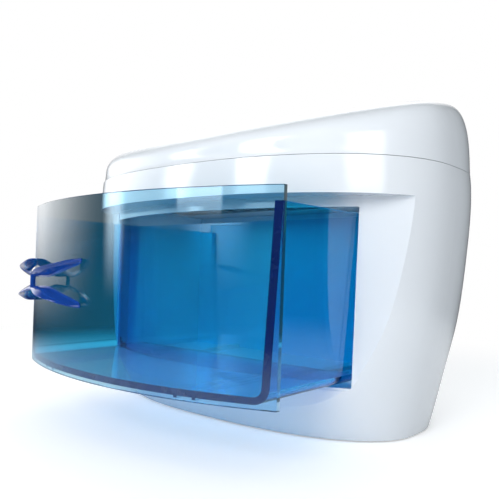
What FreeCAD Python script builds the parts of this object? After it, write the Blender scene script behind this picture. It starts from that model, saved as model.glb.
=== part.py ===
"""Drawer-type ultraviolet sterilizer, in millimetres.

+Z is up, the drawer opens towards -Y, and +X is to the right as seen from the front.
The drawer is modelled part open: closing it moves it along +Y by drawer_pull.
The origin is under the middle of the part in that pose, on the surface that the feet stand on.
"""

import FreeCAD, Part

import math
import os

Vector = FreeCAD.Vector

# Driving sizes of the case
body_width = 370.0
body_depth = 225.0
front_reach = 124.0
origin_setback = 155.1
foot_lift = 1.2
lip_height = 185.5
seam_height = 213.0
seam_gap = 0.5
cover_rise = 60.0
case_wall = 3.0
face_radius = 345.0
visor_overhang = 24.0
overrun = 2.0

# Shape of the case: exponents of its rounded outline, and its levels from the bottom to the seam
front_fullness = 2.38
back_fullness = 3.2
outline_points = 40
level_shares = (
    # height, width, front reach, back reach
    (0.0, 0.840, 0.620, 0.780),
    (0.037, 0.852, 0.690, 0.795),
    (0.214, 0.900, 0.870, 0.860),
    (0.427, 0.954, 0.935, 0.935),
    (0.637, 0.984, 0.975, 0.980),
    (0.797, 1.0, 1.0, 1.0),
    (1.0, 1.0, 1.0, 1.0),
)
# Levels of the lid: rise, width, front reach, back reach, slope up towards the back
cover_shares = (
    (0.0, 0.999, 0.995, 0.998, 0.0),
    (0.34, 0.994, 0.975, 0.992, 0.068),
    (0.64, 0.978, 0.913, 0.970, 0.137),
    (0.83, 0.950, 0.776, 0.930, 0.178),
    (0.94, 0.906, 0.576, 0.860, 0.205),
    (1.0, 0.838, 0.252, 0.750, 0.219),
)
cover_pivot_share = 0.153

# Base, feet and their screws
base_recess = 2.8
base_thickness = 2.5
base_clearance = 0.4
flange_width = 14.0
flange_thickness = 3.0
foot_radius = 9.0
base_screw_radius = 1.5
base_screw_head_radius = 2.9
base_screw_head_height = 1.6
base_screw_length = 5.0
base_screw_inset = 8.0
screw_angles = (18.0, 162.0, 212.0, 328.0)
foot_angles = (48.0, 132.0, 238.0, 302.0)
foot_inset = 18.0
vent_count = 7
vent_length = 60.0
vent_width = 3.0
vent_pitch = 9.0

# Drawer
plate_half_width = 140.8
plate_draft = 1.5
plate_bottom = 44.0
plate_top = 182.0
plate_thickness = 3.0
plate_seat_gap = 0.5
glue_line = 0.15
seat_depth = 0.8
seat_margin = 1.5
drawer_pull = 90.0
tub_inset = 1.8
tub_draft = 6.0
tub_bottom = 46.3
tub_rim = 172.5
tub_wall = 4.6
tub_corner = 10.0
tub_back_room = 52.5
opening_gap = 1.2
opening_draft = 3.0
opening_drop = 0.5
opening_rise = 5.2
opening_corner = 1.2
rib_width = 2.6
rib_height = 1.4
rib_play = 0.6

# Handle
handle_x = -79.0
handle_z = 116.0
handle_half_length = 54.0
handle_standoff = 16.5
handle_bow_power = 3.5
blade_rise = 11.8
blade_depth = 13.5
blade_thickness = 2.6
blade_tilt = 30.0
blade_spacing = 11.0
post_radius = 2.0
# Width of a leaf from its middle to its tip
blade_width_shares = (0.40, 0.84, 1.0, 0.80, 0.22)

# Chamber
liner_sheet = 0.8
liner_gap = 2.6
liner_flange = 9.0
liner_back_gap = 5.0
liner_front_gap = 3.0
runner_width = 10.0
runner_height = 3.5
runner_gap = 0.3
runner_x = 78.0
runner_end_gap = 4.0
ledge_width = 7.0

# Chassis sheet and what stands on it
chassis_thickness = 1.2
chassis_clearance = 0.5
lug_radius = 8.0
lug_inset = 10.0
post_angles = (28.0, 152.0, 195.0, 345.0)
chassis_screw_radius = 1.5
chassis_screw_head_radius = 2.9
chassis_screw_head_height = 1.8
chassis_screw_bite = 9.0
cover_post_radius = 4.5
window_length = 246.0
window_width = 40.0
guard_margin = 5.0
guard_thickness = 2.0
guard_slots = 15
guard_bar = 2.2

# Lamp and its gear
lamp_setback = 116.5
lamp_axis_rise = 17.0
lamp_glass_length = 264.0
lamp_radius = 8.0
lamp_glass_wall = 0.9
cap_length = 12.0
cap_radius = 8.2
pin_radius = 1.2
pin_length = 6.5
pin_spacing = 4.8
pin_play = 0.05
rotor_radius = 6.2
rotor_length = 5.4
rotor_play = 0.35
holder_thickness = 9.0
holder_half_width = 12.0
holder_cap_gap = 0.5
holder_crown = 13.0
reflector_radius = 27.0
reflector_sheet = 0.6
reflector_flange = 8.0
reflector_end_gap = 3.0
ballast_length = 104.0
ballast_width = 36.0
ballast_height = 27.0
ballast_gap = 4.0
ballast_x = -20.0
ballast_foot = 12.0
ballast_foot_thickness = 1.6
ballast_screw_head_radius = 3.2
ballast_screw_head_height = 2.0
starter_x = -62.0
starter_ahead = 66.0
starter_radius = 10.6
starter_length = 36.0
starter_axis_rise = 13.5
starter_holder_length = 11.0
starter_holder_half_width = 13.0
starter_stud_radius = 2.0
starter_stud_length = 6.0
terminal_x = 52.0
terminal_ahead = 64.0
terminal_length = 44.0
terminal_width = 16.0
terminal_height = 13.0
terminal_ways = 4
terminal_hole_radius = 2.0
wire_radius = 1.3
wire_rest = 0.3
wire_bend = 9.0

# Door switch
interlock_x = 96.0
interlock_z = 140.0
interlock_length = 20.0
interlock_height = 10.0
interlock_depth = 8.0
plunger_radius = 2.0
plunger_play = 0.3
plunger_reach = 4.6
plunger_travel = 2.5
plunger_stop = 0.6

# Connector panel in its well at the back
well_half_width = 56.0
well_height = 25.4
well_wall = 2.5
well_clear = 1.0
panel_inset = 38.5
panel_thickness = 2.5
panel_screw_radius = 1.5
panel_screw_head_radius = 2.8
panel_screw_head_height = 1.6
panel_screw_bite = 6.0
inlet_x = 24.0
inlet_length = 31.0
inlet_height = 18.0
inlet_depth = 20.0
inlet_flange = 3.0
inlet_flange_thickness = 2.0
socket_length = 17.0
socket_height = 9.0
socket_depth = 15.0
inlet_pin_radius = 1.2
inlet_pin_spacing = 8.6
inlet_pin_length = 11.0
switch_x = -26.0
switch_length = 21.0
switch_height = 15.0
switch_bezel = 1.8
switch_rim = 2.2
switch_depth = 16.0
rocker_play = 0.8
rocker_stand = 1.3
rocker_tilt = 9.0
rocker_crown_radius = 16.0
rocker_pivot_radius = 1.4
rocker_pivot_play = 0.08

# Places worked out from the sizes above
y_back = origin_setback
y_front = y_back - body_depth
y_wide = y_front + front_reach
back_reach = body_depth - front_reach
half_width = body_width / 2
body_rise = seam_height - foot_lift
face_apex = y_front + visor_overhang
face_axis = face_apex + face_radius
seat_radius = face_radius - seat_depth
plate_inner_radius = seat_radius + plate_seat_gap
plate_outer_radius = plate_inner_radius + plate_thickness
drawer_axis = face_axis - drawer_pull
base_bottom = foot_lift + base_recess
base_top = base_bottom + base_thickness
flange_top = base_top + flange_thickness
chassis_bottom = lip_height + case_wall
chassis_top = chassis_bottom + chassis_thickness
lamp_y = y_front + lamp_setback
lamp_z = chassis_top + lamp_axis_rise
starter_y = lamp_y - starter_ahead
terminal_y = lamp_y - terminal_ahead
tub_half_top = plate_half_width - tub_inset
tub_half_bottom = tub_half_top - tub_draft
opening_half_top = tub_half_top + opening_gap
opening_half_bottom = opening_half_top - opening_draft
opening_bottom = tub_bottom - rib_height - opening_drop
liner_half = opening_half_top + liner_gap
liner_floor_top = tub_bottom - runner_gap - runner_height
liner_floor = liner_floor_top - liner_sheet
tub_back = y_back - tub_back_room
liner_back = tub_back + liner_back_gap
well_bottom = flange_top + well_clear + well_wall
well_top = well_bottom + well_height
panel_mid = (well_bottom + well_top) / 2
panel_y = y_back - panel_inset


def box(x0, x1, y0, y1, z0, z1):
    """Box between two corners."""
    return Part.makeBox(x1 - x0, y1 - y0, z1 - z0, Vector(x0, y0, z0))


def rod(radius, start, end):
    """Cylinder between two points."""
    way = end - start
    return Part.makeCylinder(radius, way.Length, start, way)


def fuse(shapes):
    """One solid of several that meet or overlap."""
    joined = shapes[0]
    for shape in shapes[1:]:
        joined = joined.fuse(shape)
    return joined.removeSplitter()


def mirror_x(shape):
    """The same shape on the other side of the middle plane."""
    return shape.mirror(Vector(0, 0, 0), Vector(1, 0, 0))


def power(value, exponent):
    """Signed power."""
    return math.copysign(abs(value) ** exponent, value)


def outline(half, front, back, z, slope=0.0, pivot=0.0):
    """Closed rounded outline of the case: superellipses in front of and behind its widest line."""
    points = []
    for step in range(outline_points):
        x, y = rim_place(half, front, back, 360 * step / outline_points)
        points.append(Vector(x, y, z + slope * (y - pivot)))
    curve = Part.BSplineCurve()
    curve.interpolate(Points=points, PeriodicFlag=True)
    return Part.Wire([curve.toShape()])


def rim_place(half, front, back, degrees):
    """Place on a rounded outline of the case."""
    angle = math.radians(degrees)
    fullness = back_fullness if math.sin(angle) > 0 else front_fullness
    reach = back if math.sin(angle) > 0 else front
    return half * power(math.cos(angle), 2 / fullness), y_wide + reach * power(math.sin(angle), 2 / fullness)


def outline_place(degrees, inset):
    """Place on the seam's outline, moved inwards."""
    return rim_place(half_width - inset, front_reach - inset, back_reach - inset, degrees)


def bottom_place(degrees, inset):
    """Place on the bottom's outline, moved inwards."""
    rise, width, front, back = level_shares[0]
    half = half_width * width - inset
    return rim_place(half, front_reach * front - inset, back_reach * back - inset, degrees)


def level(share_row, inset):
    """Outline of the case at one of its levels."""
    rise, width, front, back = share_row
    z = foot_lift + rise * body_rise
    return outline(half_width * width - inset, front_reach * front - inset, back_reach * back - inset, z)


def case_loft(inset):
    """Solid of the case's outside, or of its inside when it is inset."""
    return Part.makeLoft([level(row, inset) for row in level_shares], True, False)


def slab(shape, z0, z1):
    """The part of a shape between two heights."""
    reach = body_width
    return shape.common(box(-reach, reach, -reach, reach, z0, z1))


def plate_prism(half, front, back, z0, z1):
    """Straight-sided block with the case's outline."""
    return Part.Face(outline(half, front, back, z0)).extrude(Vector(0, 0, z1 - z0))


def narrow_prism(inset, z0, z1):
    """Block with the outline that the case has at its lip, moved inwards."""
    return plate_prism(half_width - inset, front_reach - inset, back_reach - inset, z0, z1)


def bottom_prism(inset, z0, z1):
    """Block with the outline that the case has at its bottom, moved inwards."""
    rise, width, front, back = level_shares[0]
    half = half_width * width - inset
    return plate_prism(half, front_reach * front - inset, back_reach * back - inset, z0, z1)


def before_cylinder(radius, axis_y, z0, z1):
    """Everything in front of an upright cylinder, to cut a bowed face."""
    reach = body_width
    block = box(-reach, reach, -reach, axis_y, z0, z1)
    return block.cut(rod(radius, Vector(0, axis_y, z0), Vector(0, axis_y, z1)))


def rounded_wire(points, radius):
    """Closed outline of straight runs whose corners are arcs of one radius."""
    edges = []
    count = len(points)
    ends = []
    for index in range(count):
        corner = points[index]
        before = (points[index - 1] - corner).normalize()
        after = (points[(index + 1) % count] - corner).normalize()
        half_turn = before.getAngle(after) / 2
        run = radius / math.tan(half_turn)
        middle = (before + after).normalize()
        arc_mid = corner + middle * (radius / math.sin(half_turn) - radius)
        ends.append((corner + before * run, arc_mid, corner + after * run))
    for index in range(count):
        start, mid, end = ends[index]
        edges.append(Part.Arc(start, mid, end).toShape())
        edges.append(Part.LineSegment(end, ends[(index + 1) % count][0]).toShape())
    return Part.Wire(edges)


def tapered_profile(half_top, half_bottom, z0, z1, y, radius):
    """Upright face that narrows downwards, with rounded corners."""
    corners = [
        Vector(-half_top, y, z1),
        Vector(half_top, y, z1),
        Vector(half_bottom, y, z0),
        Vector(-half_bottom, y, z0),
    ]
    return Part.Face(rounded_wire(corners, radius))


def tub_half(z):
    """Half width of the tub's outside at a height."""
    share = (z - tub_bottom) / (tub_rim - tub_bottom)
    return tub_half_bottom + (tub_half_top - tub_half_bottom) * share


def screw(radius, head_radius, head_height, head_base, tip):
    """Pan-head screw from the underside of its head to its tip."""
    way = tip - head_base
    head_end = head_base - way.normalize() * head_height
    return fuse([rod(radius, head_base, tip), rod(head_radius, head_end, head_base)])


def make_housing():
    """White shell with the visor, the drawer's opening, the ledge and the connector well."""
    inside = case_loft(case_wall)
    low = slab(inside, flange_top, lip_height)
    low = low.cut([before_cylinder(face_radius - case_wall, face_axis, -overrun, seam_height), well_block()])
    ledge_hole = narrow_prism(case_wall + ledge_width, lip_height - overrun, chassis_bottom + overrun)
    face_inset = face_radius - case_wall - ledge_width
    lugs = [ledge_lug(degrees) for degrees in post_angles]
    ledge_hole = ledge_hole.cut([before_cylinder(face_inset, face_axis, -overrun, seam_height)] + lugs)
    cuts = [
        before_cylinder(face_radius, face_axis, -overrun, lip_height),
        low,
        ledge_hole,
        slab(inside, chassis_bottom, seam_height),
        bottom_prism(case_wall, foot_lift - overrun, base_top),
        bottom_prism(case_wall + flange_width, base_top - overrun, flange_top + overrun),
        well_hollow(),
        plate_seat(),
        drawer_opening(),
    ]
    cuts += [screw_hole(degrees) for degrees in post_angles]
    cuts += base_screw_holes(base_bottom - overrun, flange_top + overrun)
    cuts += panel_holes(panel_y - overrun, panel_y + panel_screw_bite)
    return case_loft(0.0).cut(cuts)


def ledge_lug(degrees):
    """Boss that is left on the ledge around one chassis screw."""
    x, y = outline_place(degrees, lug_inset)
    return rod(lug_radius, Vector(x, y, lip_height - body_rise), Vector(x, y, lip_height + body_rise))


def screw_hole(degrees):
    """Hole for one chassis screw."""
    x, y = outline_place(degrees, lug_inset)
    return rod(chassis_screw_radius, Vector(x, y, lip_height - overrun), Vector(x, y, chassis_top + overrun))


def base_screw_holes(z0, z1):
    """Holes of the base screws."""
    return [rod(base_screw_radius, Vector(x, y, z0), Vector(x, y, z1)) for x, y in base_screw_places()]


def base_screw_places():
    """Places of the base screws, on the flange."""
    return [bottom_place(degrees, case_wall + base_screw_inset) for degrees in screw_angles]


def well_block():
    """Walls of the recess at the back, still filled."""
    x1 = well_half_width + well_wall
    return box(-x1, x1, panel_y, body_depth, well_bottom - well_wall, well_top + well_wall)


def well_hollow():
    """Hollow of the recess at the back."""
    return box(-well_half_width, well_half_width, panel_y - overrun, body_depth, well_bottom, well_top)


def panel_hole_places():
    """Places of the panel's screws, in the side walls of the well."""
    x = well_half_width + well_wall / 2
    return [(-x, panel_mid), (x, panel_mid)]


def panel_holes(y0, y1):
    """Holes of the panel's screws."""
    return [rod(panel_screw_radius, Vector(x, y0, z), Vector(x, y1, z)) for x, z in panel_hole_places()]


def plate_seat():
    """Shallow seat of the drawer's plate in the bowed face."""
    half = plate_half_width + seat_margin
    block = box(-half, half, -body_depth, face_axis, plate_bottom - seat_margin, lip_height)
    return block.cut(rod(seat_radius, Vector(0, face_axis, -overrun), Vector(0, face_axis, seam_height)))


def drawer_opening():
    """Hole in the bowed face that the tub slides through."""
    profile = tapered_profile(
        opening_half_top,
        opening_half_bottom,
        opening_bottom,
        tub_rim + opening_rise,
        y_front,
        opening_corner,
    )
    return profile.extrude(Vector(0, front_reach, 0))


def cover_loft(inset, drop):
    """Dome of the lid, or its inside when it is inset and dropped."""
    pivot = y_wide + back_reach * cover_pivot_share
    wires = []
    for rise, width, front, back, slope in cover_shares:
        z = seam_height + seam_gap + rise * (cover_rise - drop)
        half = half_width * width - inset
        wires.append(outline(half, front_reach * front - inset, back_reach * back - inset, z, slope, pivot))
    return Part.makeLoft(wires, True, False)


def make_cover():
    """Domed lid with its locating rim and four screw posts."""
    skirt_low = seam_height - case_wall
    skirt_base = seam_height + seam_gap
    skirt_top = skirt_base + case_wall
    skirt_outer = case_wall + base_clearance
    skirt_inner = skirt_outer + case_wall
    posts = []
    for degrees in post_angles:
        x, y = outline_place(degrees, lug_inset)
        posts.append(rod(cover_post_radius, Vector(x, y, chassis_top), Vector(x, y, skirt_top + cover_rise)))
    hollow = slab(cover_loft(case_wall, case_wall), skirt_top, skirt_top + cover_rise).cut(posts)
    mouth = narrow_prism(skirt_inner, skirt_base - overrun, skirt_top + overrun).cut(posts)
    shell = cover_loft(0.0, 0.0).cut([hollow, mouth])
    rim = narrow_prism(skirt_outer, skirt_low, skirt_base)
    rim = rim.cut(narrow_prism(skirt_inner, skirt_low - overrun, skirt_base + overrun))
    stubs = [slab(post, chassis_top, skirt_base) for post in posts]
    holes = []
    for degrees in post_angles:
        x, y = outline_place(degrees, lug_inset)
        tip = chassis_top + chassis_screw_bite
        holes.append(rod(chassis_screw_radius, Vector(x, y, chassis_top - overrun), Vector(x, y, tip)))
    return shell.fuse([rim] + stubs).cut(holes)


def make_base():
    """Bottom cover with vent slots."""
    plate = bottom_prism(case_wall + base_clearance, base_bottom, base_top)
    cuts = base_screw_holes(base_bottom - overrun, base_top + overrun)
    first = y_wide - (vent_count - 1) * vent_pitch / 2
    for index in range(vent_count):
        y = first + index * vent_pitch
        cuts.append(box(-vent_length / 2, vent_length / 2, y - vent_width / 2, y + vent_width / 2,
                        base_bottom - overrun, base_top + overrun))
    return plate.cut(cuts)


def make_feet():
    """Four rubber feet under the bottom cover."""
    feet = []
    for degrees in foot_angles:
        x, y = bottom_place(degrees, foot_inset)
        feet.append(rod(foot_radius, Vector(x, y, 0), Vector(x, y, base_bottom)))
    return Part.makeCompound(feet)


def make_base_screws():
    """Screws that hold the bottom cover to the flange."""
    screws = []
    for x, y in base_screw_places():
        tip = Vector(x, y, base_bottom + base_screw_length)
        screws.append(screw(base_screw_radius, base_screw_head_radius, base_screw_head_height,
                            Vector(x, y, base_bottom), tip))
    return Part.makeCompound(screws)


def make_chassis():
    """Steel sheet on the ledge, with the lamp's window."""
    sheet = narrow_prism(case_wall + chassis_clearance, chassis_bottom, chassis_top)
    window = box(-window_length / 2, window_length / 2, lamp_y - window_width / 2, lamp_y + window_width / 2,
                 chassis_bottom - overrun, chassis_top + overrun)
    return sheet.cut([window] + [screw_hole(degrees) for degrees in post_angles])


def make_chassis_screws():
    """Screws that clamp the chassis between the ledge and the lid's posts."""
    screws = []
    for degrees in post_angles:
        x, y = outline_place(degrees, lug_inset)
        screws.append(screw(chassis_screw_radius, chassis_screw_head_radius, chassis_screw_head_height,
                            Vector(x, y, lip_height), Vector(x, y, chassis_top + chassis_screw_bite)))
    return Part.makeCompound(screws)


def make_liner():
    """Bright sheet chamber, open at the front and at the top, hung from the chassis."""
    front = face_apex
    outer = box(-liner_half, liner_half, front, liner_back + liner_sheet, liner_floor, chassis_bottom)
    inner_half = liner_half - liner_sheet
    inner = box(-inner_half, inner_half, front - overrun, liner_back,
                liner_floor_top, chassis_bottom + overrun)
    tray = outer.cut(inner)
    flange_half = liner_half + liner_flange
    flange_z = chassis_bottom - liner_sheet
    wings = box(-flange_half, flange_half, front, liner_back + liner_sheet, flange_z, chassis_bottom)
    tray = fuse([tray, wings.cut(inner)])
    room = face_radius - case_wall - ledge_width - liner_front_gap
    tray = tray.cut(before_cylinder(room, face_axis, -overrun, seam_height))
    hole_start = Vector(interlock_x, liner_back - overrun, interlock_z)
    hole_end = Vector(interlock_x, liner_back + liner_sheet + overrun, interlock_z)
    return tray.cut(rod(plunger_radius + plunger_play, hole_start, hole_end))


def make_runner(side):
    """Rail on the chamber's floor that the tub slides on."""
    x0 = side * runner_x - runner_width / 2
    room = face_radius - case_wall - ledge_width - liner_front_gap - runner_end_gap
    bar = box(x0, x0 + runner_width, face_apex, liner_back - runner_end_gap,
              liner_floor_top, liner_floor_top + runner_height)
    return bar.cut(before_cylinder(room, face_axis, -overrun, seam_height))


def make_guard():
    """Slotted grille over the lamp's window."""
    half_x = window_length / 2 + guard_margin
    half_y = window_width / 2 + guard_margin
    grille = box(-half_x, half_x, lamp_y - half_y, lamp_y + half_y,
                 chassis_top, chassis_top + guard_thickness)
    pitch = window_length / guard_slots
    slots = []
    for index in range(guard_slots):
        x = -window_length / 2 + (index + 1 / 2) * pitch
        slot_half = (pitch - guard_bar) / 2
        slots.append(box(x - slot_half, x + slot_half, lamp_y - window_width / 2, lamp_y + window_width / 2,
                         chassis_top - overrun, chassis_top + guard_thickness + overrun))
    return grille.cut(slots)


def lamp_point(x):
    """Point on the lamp's axis."""
    return Vector(x, lamp_y, lamp_z)


def make_lamp_tube():
    """Hollow quartz tube."""
    half = lamp_glass_length / 2
    glass = rod(lamp_radius, lamp_point(-half), lamp_point(half))
    bore = rod(lamp_radius - lamp_glass_wall, lamp_point(-half - overrun), lamp_point(half + overrun))
    return glass.cut(bore)


def make_lamp_caps():
    """Metal end caps that close the tube."""
    start = lamp_glass_length / 2
    cap = rod(cap_radius, lamp_point(start), lamp_point(start + cap_length))
    return Part.makeCompound([cap, mirror_x(cap)])


def pin_places():
    """Heights of the two pins about the lamp's axis."""
    return (-pin_spacing / 2, pin_spacing / 2)


def make_lamp_pins():
    """Two contact pins at each end."""
    start = lamp_glass_length / 2 + cap_length
    pins = []
    for rise in pin_places():
        lift = Vector(0, 0, rise)
        pin = rod(pin_radius, lamp_point(start) + lift, lamp_point(start + pin_length) + lift)
        pins += [pin, mirror_x(pin)]
    return Part.makeCompound(pins)


def holder_inner_x():
    """Face of a holder that looks at the lamp."""
    return lamp_glass_length / 2 + cap_length + holder_cap_gap


def make_lamp_rotors():
    """Turning core in each holder, which grips the pins."""
    start = holder_inner_x() + rotor_play
    core = rod(rotor_radius, lamp_point(start), lamp_point(start + rotor_length))
    for rise in pin_places():
        hole_end = lamp_glass_length / 2 + cap_length + pin_length + pin_play
        core = core.cut(rod(pin_radius + pin_play, lamp_point(start - overrun) + Vector(0, 0, rise),
                            lamp_point(hole_end) + Vector(0, 0, rise)))
    return Part.makeCompound([core, mirror_x(core)])


def make_lamp_holder():
    """Plastic holder on the chassis, with a round pocket for its core."""
    x0 = holder_inner_x()
    body = box(x0, x0 + holder_thickness, lamp_y - holder_half_width, lamp_y + holder_half_width,
               chassis_top, lamp_z)
    crown = rod(holder_crown, lamp_point(x0), lamp_point(x0 + holder_thickness))
    crown = crown.common(box(x0, x0 + holder_thickness,
                             lamp_y - holder_half_width, lamp_y + holder_half_width,
                             chassis_top, lamp_z + holder_crown))
    pocket = rod(rotor_radius + rotor_play,
                 lamp_point(x0 - overrun), lamp_point(x0 + rotor_length + 2 * rotor_play))
    return fuse([body, crown]).cut(pocket)


def make_reflector():
    """Arched sheet over the lamp with flanges on the chassis."""
    half = holder_inner_x() - cap_length - reflector_end_gap
    base = chassis_top
    start = Vector(-half, lamp_y, base)
    end = Vector(half, lamp_y, base)
    outer_radius = reflector_radius + reflector_sheet
    flange_y = outer_radius + reflector_flange
    flange = box(-half, half, lamp_y - flange_y, lamp_y + flange_y, base, base + reflector_sheet)
    sheet = fuse([rod(outer_radius, start, end), flange])
    sheet = sheet.cut(rod(reflector_radius, start - Vector(overrun, 0, 0), end + Vector(overrun, 0, 0)))
    return sheet.common(box(-half, half, -body_depth, body_depth, base, seam_height + cover_rise))


def ballast_y():
    """Front face of the ballast, behind the reflector."""
    return lamp_y + reflector_radius + reflector_sheet + reflector_flange + ballast_gap


def make_ballast():
    """Choke in its steel case, with a foot at each end."""
    y0 = ballast_y()
    x0 = ballast_x - ballast_length / 2
    x1 = ballast_x + ballast_length / 2
    core = box(x0, x1, y0, y0 + ballast_width, chassis_top, chassis_top + ballast_height)
    feet = box(x0 - ballast_foot, x1 + ballast_foot, y0, y0 + ballast_width,
               chassis_top, chassis_top + ballast_foot_thickness)
    return fuse([core, feet])


def make_ballast_screws():
    """Screws on the ballast's feet."""
    y = ballast_y() + ballast_width / 2
    z = chassis_top + ballast_foot_thickness
    screws = []
    for side in (-1, 1):
        x = ballast_x + side * (ballast_length + ballast_foot) / 2
        top = Vector(x, y, z + ballast_screw_head_height)
        screws.append(rod(ballast_screw_head_radius, Vector(x, y, z), top))
    return Part.makeCompound(screws)


def starter_point(offset):
    """Point on the starter's axis, from the holder's face."""
    return Vector(starter_x + offset, starter_y, chassis_top + starter_axis_rise)


def make_starter_holder():
    """Socket block of the starter."""
    top = chassis_top + starter_axis_rise + starter_holder_half_width
    block = box(starter_x - starter_holder_length, starter_x, starter_y - starter_holder_half_width,
                starter_y + starter_holder_half_width, chassis_top, top)
    for side in (-1, 1):
        shift = Vector(0, side * starter_radius / 2, 0)
        start = starter_point(-starter_stud_length - pin_play) + shift
        block = block.cut(rod(starter_stud_radius + pin_play, start, starter_point(overrun) + shift))
    return block


def make_starter():
    """Starter can with its two studs."""
    can = rod(starter_radius, starter_point(0), starter_point(starter_length))
    studs = []
    for side in (-1, 1):
        shift = Vector(0, side * starter_radius / 2, 0)
        studs.append(rod(starter_stud_radius, starter_point(-starter_stud_length) + shift,
                         starter_point(starter_radius / 2) + shift))
    return fuse([can] + studs)


def make_terminal_block():
    """Screw terminal strip."""
    x0 = terminal_x - terminal_length / 2
    block = box(x0, x0 + terminal_length, terminal_y - terminal_width / 2, terminal_y + terminal_width / 2,
                chassis_top, chassis_top + terminal_height)
    pitch = terminal_length / terminal_ways
    top = chassis_top + terminal_height
    for index in range(terminal_ways):
        x = x0 + (index + 1 / 2) * pitch
        block = block.cut(rod(terminal_hole_radius, Vector(x, terminal_y, top - terminal_height / 2),
                              Vector(x, terminal_y, top + overrun)))
    return block


def wire_tube(points):
    """Wire along straight runs with round bends."""
    edges = []
    last = points[0]
    for index in range(1, len(points) - 1):
        corner = points[index]
        before = (points[index - 1] - corner).normalize()
        after = (points[index + 1] - corner).normalize()
        half_turn = before.getAngle(after) / 2
        run = wire_bend / math.tan(half_turn)
        mid = corner + (before + after).normalize() * (wire_bend / math.sin(half_turn) - wire_bend)
        edges.append(Part.LineSegment(last, corner + before * run).toShape())
        edges.append(Part.Arc(corner + before * run, mid, corner + after * run).toShape())
        last = corner + after * run
    edges.append(Part.LineSegment(last, points[-1]).toShape())
    path = Part.Wire(edges)
    way = points[1] - points[0]
    ring = Part.Wire([Part.Circle(points[0], way, wire_radius).toShape()])
    return path.makePipeShell([ring], True, False)


def make_wiring():
    """Leads on the chassis between the terminal strip, the starter and the lamp holders."""
    z = chassis_top + wire_rest + wire_radius
    holder_face = holder_inner_x() + holder_thickness / 2
    holder_front = lamp_y - holder_half_width
    strip_back = terminal_y + terminal_width / 2
    strip_right = terminal_x + terminal_length / 2
    starter_back = starter_y + starter_holder_half_width
    starter_mid = starter_x - starter_holder_length / 2
    lane = (strip_back + lamp_y - reflector_radius - reflector_sheet - reflector_flange) / 2
    leads = [
        [Vector(strip_right, terminal_y, z), Vector(holder_face, terminal_y, z),
         Vector(holder_face, holder_front, z)],
        [Vector(starter_mid, starter_back, z), Vector(starter_mid, lane, z), Vector(-holder_face, lane, z),
         Vector(-holder_face, holder_front, z)],
    ]
    return Part.makeCompound([wire_tube(lead) for lead in leads])


def make_interlock_body():
    """Door switch on the back of the chamber."""
    y0 = liner_back + liner_sheet
    half = interlock_length / 2
    body = box(interlock_x - half, interlock_x + half, y0, y0 + interlock_depth,
               interlock_z - interlock_height / 2, interlock_z + interlock_height / 2)
    bore_end = Vector(interlock_x, y0 + interlock_depth - plunger_stop, interlock_z)
    bore = rod(plunger_radius + plunger_play, Vector(interlock_x, y0 - overrun, interlock_z), bore_end)
    return body.cut(bore)


def make_plunger():
    """Round-nosed plunger of the door switch."""
    nose = liner_back - plunger_reach
    end = liner_back + liner_sheet + interlock_depth - plunger_stop - plunger_play - plunger_travel
    ball = Vector(interlock_x, nose + plunger_radius, interlock_z)
    pin = rod(plunger_radius, ball, Vector(interlock_x, end, interlock_z))
    return fuse([pin, Part.makeSphere(plunger_radius, ball)])


def make_rear_panel():
    """Plate at the inner end of the connector well."""
    x1 = well_half_width + well_wall
    plate = box(-x1, x1, panel_y - panel_thickness, panel_y, well_bottom - well_wall, well_top + well_wall)
    plate = plate.cut(inlet_body(panel_y - panel_thickness - overrun, panel_y + overrun))
    plate = plate.cut(switch_body(panel_y - panel_thickness - overrun, panel_y + overrun))
    return plate.cut(panel_holes(panel_y - panel_thickness - overrun, panel_y + overrun))


def make_rear_screws():
    """Screws of the connector panel."""
    screws = []
    for x, z in panel_hole_places():
        seat = Vector(x, panel_y - panel_thickness, z)
        tip = Vector(x, panel_y + panel_screw_bite - overrun, z)
        screws.append(screw(panel_screw_radius, panel_screw_head_radius, panel_screw_head_height, seat, tip))
    return Part.makeCompound(screws)


def inlet_body(y0, y1):
    """Block of the inlet's body between two depths."""
    return box(inlet_x - inlet_length / 2, inlet_x + inlet_length / 2, y0, y1,
               panel_mid - inlet_height / 2, panel_mid + inlet_height / 2)


def make_inlet():
    """Two-pin mains inlet with its flange on the panel."""
    body = inlet_body(panel_y - inlet_depth, panel_y)
    flange = box(inlet_x - inlet_length / 2 - inlet_flange, inlet_x + inlet_length / 2 + inlet_flange,
                 panel_y, panel_y + inlet_flange_thickness,
                 panel_mid - inlet_height / 2 - inlet_flange, panel_mid + inlet_height / 2 + inlet_flange)
    mouth = panel_y + inlet_flange_thickness
    radius = socket_height / 2
    shift = Vector((socket_length - socket_height) / 2, 0, 0)
    back = Vector(inlet_x, mouth - socket_depth, panel_mid)
    front = Vector(inlet_x, mouth + overrun, panel_mid)
    socket = fuse([
        rod(radius, back - shift, front - shift),
        rod(radius, back + shift, front + shift),
        box(inlet_x - shift.x, inlet_x + shift.x, back.y, front.y, panel_mid - radius, panel_mid + radius),
    ])
    return fuse([body, flange]).cut(socket)


def make_inlet_pins():
    """Contact pins in the inlet."""
    start = panel_y + inlet_flange_thickness - socket_depth
    pins = []
    for side in (-1, 1):
        x = inlet_x + side * inlet_pin_spacing / 2
        end = Vector(x, start + inlet_pin_length, panel_mid)
        pins.append(rod(inlet_pin_radius, Vector(x, start, panel_mid), end))
    return Part.makeCompound(pins)


def switch_body(y0, y1):
    """Block of the switch's body between two depths."""
    return box(switch_x - switch_length / 2, switch_x + switch_length / 2, y0, y1,
               panel_mid - switch_height / 2, panel_mid + switch_height / 2)


def rocker_pivot():
    """Middle of the rocker's pivot."""
    return Vector(switch_x, panel_y - rocker_pivot_radius, panel_mid)


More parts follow.
